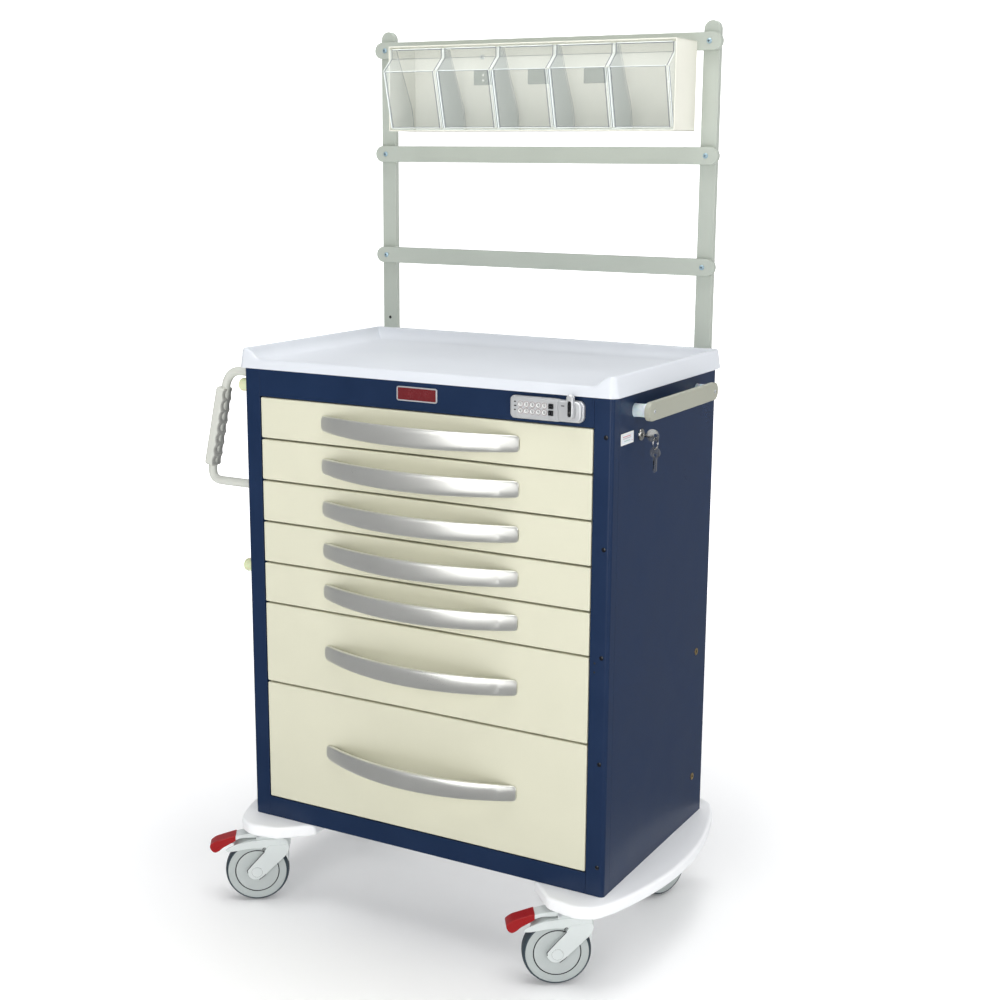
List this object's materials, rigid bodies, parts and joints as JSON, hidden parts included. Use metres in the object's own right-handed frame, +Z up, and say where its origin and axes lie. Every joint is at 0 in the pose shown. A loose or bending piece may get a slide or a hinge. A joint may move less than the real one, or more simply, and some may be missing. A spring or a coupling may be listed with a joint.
{
  "type": "medication cart",
  "caption": "Wheeled drawer cabinet with a worktop tray, an overbridge with clear tilt-out bins, a keypad lock and push handles.",
  "frame": {"origin": "on the floor, under the middle of the bounding box", "axes": "+Z up, the drawers face -Y, +X to the right of a person facing the drawers"},
  "size_m": [0.9368, 0.5891, 1.691],
  "materials": {
    "navy_paint": "semi-gloss powder coat",
    "cream_paint": "semi-gloss powder coat",
    "rack_paint": "satin powder coat",
    "rail_paint": "satin powder coat",
    "brushed_aluminium": "brushed",
    "white_moulding": "fine moulded texture",
    "grey_moulding": "moulded",
    "caster_grey": "moulded",
    "tyre_rubber": "smooth",
    "pedal_grey": "moulded with a red foot",
    "pedal_red": "gloss",
    "pale_bumper": "soft translucent plastic",
    "standoff_white": "translucent plastic",
    "slide_steel": "zinc plated",
    "clear_plastic": "clear polycarbonate",
    "lock_silver": "satin metal",
    "key_black": "satin",
    "button_grey": "satin",
    "lock_chrome": "polished",
    "badge_red": "gloss with a silver border",
    "screw_steel": "zinc plated",
    "insert_brass": "plain",
    "ink_grey": "printed"
  },
  "bodies": {
    "cart": {"cabinet_shell": "navy_paint", "front_frame": "navy_paint", "drawer_slide_channels": "slide_steel", "worktop_tray": "white_moulding", "base_platform": "white_moulding", "rack_uprights": "rack_paint", "rack_rails": "rack_paint", "bin_housing": "cream_paint", "accessory_rail": "rail_paint", "rail_standoffs": "standoff_white", "push_handles": "grey_moulding", "side_bumpers": "pale_bumper", "keypad_case": "lock_silver", "side_lock_cylinder": "lock_chrome", "name_badge": "badge_red", "fasteners": "screw_steel"},
    "drawer_1": {"drawer_1_body": "cream_paint", "drawer_1_handle": "brushed_aluminium"},
    "drawer_2": {"drawer_2_body": "cream_paint", "drawer_2_handle": "brushed_aluminium"},
    "drawer_3": {"drawer_3_body": "cream_paint", "drawer_3_handle": "brushed_aluminium"},
    "drawer_4": {"drawer_4_body": "cream_paint", "drawer_4_handle": "brushed_aluminium"},
    "drawer_5": {"drawer_5_body": "cream_paint", "drawer_5_handle": "brushed_aluminium"},
    "drawer_6": {"drawer_6_body": "cream_paint", "drawer_6_handle": "brushed_aluminium"},
    "drawer_7": {"drawer_7_body": "cream_paint", "drawer_7_handle": "brushed_aluminium"},
    "bin_1": {"tilt_bin_1": "clear_plastic"},
    "bin_2": {"tilt_bin_2": "clear_plastic"},
    "bin_3": {"tilt_bin_3": "clear_plastic"},
    "bin_4": {"tilt_bin_4": "clear_plastic"},
    "bin_5": {"tilt_bin_5": "clear_plastic"},
    "caster_front_left": {"caster_front_left_fork": "caster_grey"},
    "wheel_front_left": {"caster_front_left_wheel": "tyre_rubber"},
    "pedal_front_left": {"caster_front_left_pedal": "pedal_grey"},
    "caster_front_right": {"caster_front_right_fork": "caster_grey"},
    "wheel_front_right": {"caster_front_right_wheel": "tyre_rubber"},
    "pedal_front_right": {"caster_front_right_pedal": "pedal_grey"},
    "caster_rear_left": {"caster_rear_left_fork": "caster_grey"},
    "wheel_rear_left": {"caster_rear_left_wheel": "tyre_rubber"},
    "caster_rear_right": {"caster_rear_right_fork": "caster_grey"},
    "wheel_rear_right": {"caster_rear_right_wheel": "tyre_rubber"},
    "button_1": {"keypad_button_1": "button_grey"},
    "button_2": {"keypad_button_2": "button_grey"},
    "button_3": {"keypad_button_3": "button_grey"},
    "button_4": {"keypad_button_4": "button_grey"},
    "button_5": {"keypad_button_5": "button_grey"},
    "button_6": {"keypad_button_6": "button_grey"},
    "button_7": {"keypad_button_7": "button_grey"},
    "button_8": {"keypad_button_8": "button_grey"},
    "button_9": {"keypad_button_9": "button_grey"},
    "button_10": {"keypad_button_10": "button_grey"},
    "key_1": {"keypad_key_1": "key_black"},
    "key_2": {"keypad_key_2": "key_black"},
    "knob": {"lock_knob": "lock_silver"},
    "side_key": {"side_lock_plug_and_key": "lock_chrome"},
    "key_ring": {"spare_key_ring": "lock_chrome"}
  },
  "joints": [
    {"name": "drawer_1_slide", "type": "slide", "parent": "cart", "child": "drawer_1", "axis": [0, -1, 0], "range_m": [0, 0.3]},
    {"name": "drawer_2_slide", "type": "slide", "parent": "cart", "child": "drawer_2", "axis": [0, -1, 0], "range_m": [0, 0.3]},
    {"name": "drawer_3_slide", "type": "slide", "parent": "cart", "child": "drawer_3", "axis": [0, -1, 0], "range_m": [0, 0.3]},
    {"name": "drawer_4_slide", "type": "slide", "parent": "cart", "child": "drawer_4", "axis": [0, -1, 0], "range_m": [0, 0.3]},
    {"name": "drawer_5_slide", "type": "slide", "parent": "cart", "child": "drawer_5", "axis": [0, -1, 0], "range_m": [0, 0.3]},
    {"name": "drawer_6_slide", "type": "slide", "parent": "cart", "child": "drawer_6", "axis": [0, -1, 0], "range_m": [0, 0.3]},
    {"name": "drawer_7_slide", "type": "slide", "parent": "cart", "child": "drawer_7", "axis": [0, -1, 0], "range_m": [0, 0.3]},
    {"name": "bin_1_tilt", "type": "hinge", "parent": "cart", "child": "bin_1", "pos_m": [-0.19325, 0.13053, 1.497], "axis": [1, 0, 0], "range_deg": [0, 45]},
    {"name": "bin_2_tilt", "type": "hinge", "parent": "cart", "child": "bin_2", "pos_m": [-0.07344, 0.13053, 1.497], "axis": [1, 0, 0], "range_deg": [0, 45]},
    {"name": "bin_3_tilt", "type": "hinge", "parent": "cart", "child": "bin_3", "pos_m": [0.04636, 0.13053, 1.497], "axis": [1, 0, 0], "range_deg": [0, 45]},
    {"name": "bin_4_tilt", "type": "hinge", "parent": "cart", "child": "bin_4", "pos_m": [0.16615, 0.13053, 1.497], "axis": [1, 0, 0], "range_deg": [0, 45]},
    {"name": "bin_5_tilt", "type": "hinge", "parent": "cart", "child": "bin_5", "pos_m": [0.28596, 0.13053, 1.497], "axis": [1, 0, 0], "range_deg": [0, 45]},
    {"name": "caster_front_left_swivel", "type": "hinge", "parent": "cart", "child": "caster_front_left", "pos_m": [-0.31015, -0.20627, 0.13], "axis": [0, 0, 1], "continuous": true},
    {"name": "wheel_front_left_spin", "type": "hinge", "parent": "caster_front_left", "child": "wheel_front_left", "pos_m": [-0.34621, -0.23059, 0.0625], "axis": [0.5592, -0.829, 0], "continuous": true},
    {"name": "pedal_front_left_press", "type": "hinge", "parent": "caster_front_left", "child": "pedal_front_left", "pos_m": [-0.34331, -0.22863, 0.137], "axis": [0.5592, -0.829, 0], "range_deg": [0, 10]},
    {"name": "caster_front_right_swivel", "type": "hinge", "parent": "cart", "child": "caster_front_right", "pos_m": [0.35485, -0.20627, 0.13], "axis": [0, 0, 1], "continuous": true},
    {"name": "wheel_front_right_spin", "type": "hinge", "parent": "caster_front_right", "child": "wheel_front_right", "pos_m": [0.31879, -0.23059, 0.0625], "axis": [0.5592, -0.829, 0], "continuous": true},
    {"name": "pedal_front_right_press", "type": "hinge", "parent": "caster_front_right", "child": "pedal_front_right", "pos_m": [0.32169, -0.22863, 0.137], "axis": [0.5592, -0.829, 0], "range_deg": [0, 10]},
    {"name": "caster_rear_left_swivel", "type": "hinge", "parent": "cart", "child": "caster_rear_left", "pos_m": [-0.31015, 0.22773, 0.13], "axis": [0, 0, 1], "continuous": true},
    {"name": "wheel_rear_left_spin", "type": "hinge", "parent": "caster_rear_left", "child": "wheel_rear_left", "pos_m": [-0.3351, 0.1921, 0.0625], "axis": [0.8192, -0.5736, 0], "continuous": true},
    {"name": "caster_rear_right_swivel", "type": "hinge", "parent": "cart", "child": "caster_rear_right", "pos_m": [0.35485, 0.22773, 0.13], "axis": [0, 0, 1], "continuous": true},
    {"name": "wheel_rear_right_spin", "type": "hinge", "parent": "caster_rear_right", "child": "wheel_rear_right", "pos_m": [0.33998, 0.18686, 0.0625], "axis": [0.9397, -0.342, 0], "continuous": true},
    {"name": "button_1_press", "type": "slide", "parent": "cart", "child": "button_1", "axis": [0, 1, 0], "range_m": [0, 0.001], "stiffness_N_per_m": 400},
    {"name": "button_2_press", "type": "slide", "parent": "cart", "child": "button_2", "axis": [0, 1, 0], "range_m": [0, 0.001], "stiffness_N_per_m": 400},
    {"name": "button_3_press", "type": "slide", "parent": "cart", "child": "button_3", "axis": [0, 1, 0], "range_m": [0, 0.001], "stiffness_N_per_m": 400},
    {"name": "button_4_press", "type": "slide", "parent": "cart", "child": "button_4", "axis": [0, 1, 0], "range_m": [0, 0.001], "stiffness_N_per_m": 400},
    {"name": "button_5_press", "type": "slide", "parent": "cart", "child": "button_5", "axis": [0, 1, 0], "range_m": [0, 0.001], "stiffness_N_per_m": 400},
    {"name": "button_6_press", "type": "slide", "parent": "cart", "child": "button_6", "axis": [0, 1, 0], "range_m": [0, 0.001], "stiffness_N_per_m": 400},
    {"name": "button_7_press", "type": "slide", "parent": "cart", "child": "button_7", "axis": [0, 1, 0], "range_m": [0, 0.001], "stiffness_N_per_m": 400},
    {"name": "button_8_press", "type": "slide", "parent": "cart", "child": "button_8", "axis": [0, 1, 0], "range_m": [0, 0.001], "stiffness_N_per_m": 400},
    {"name": "button_9_press", "type": "slide", "parent": "cart", "child": "button_9", "axis": [0, 1, 0], "range_m": [0, 0.001], "stiffness_N_per_m": 400},
    {"name": "button_10_press", "type": "slide", "parent": "cart", "child": "button_10", "axis": [0, 1, 0], "range_m": [0, 0.001], "stiffness_N_per_m": 400},
    {"name": "key_1_press", "type": "slide", "parent": "cart", "child": "key_1", "axis": [0, 1, 0], "range_m": [0, 0.001], "stiffness_N_per_m": 400},
    {"name": "key_2_press", "type": "slide", "parent": "cart", "child": "key_2", "axis": [0, 1, 0], "range_m": [0, 0.001], "stiffness_N_per_m": 400},
    {"name": "knob_turn", "type": "hinge", "parent": "cart", "child": "knob", "pos_m": [0.33286, -0.23677, 1.0435], "axis": [0, 1, 0], "range_deg": [0, 90]},
    {"name": "side_key_turn", "type": "hinge", "parent": "cart", "child": "side_key", "pos_m": [0.40186, -0.10526, 0.984], "axis": [1, 0, 0], "range_deg": [0, 90]},
    {"name": "key_ring_swing", "type": "hinge", "parent": "side_key", "child": "key_ring", "pos_m": [0.42985, -0.10526, 0.984], "axis": [0, -1, 0], "range_deg": [-10, 75]}
  ]
}
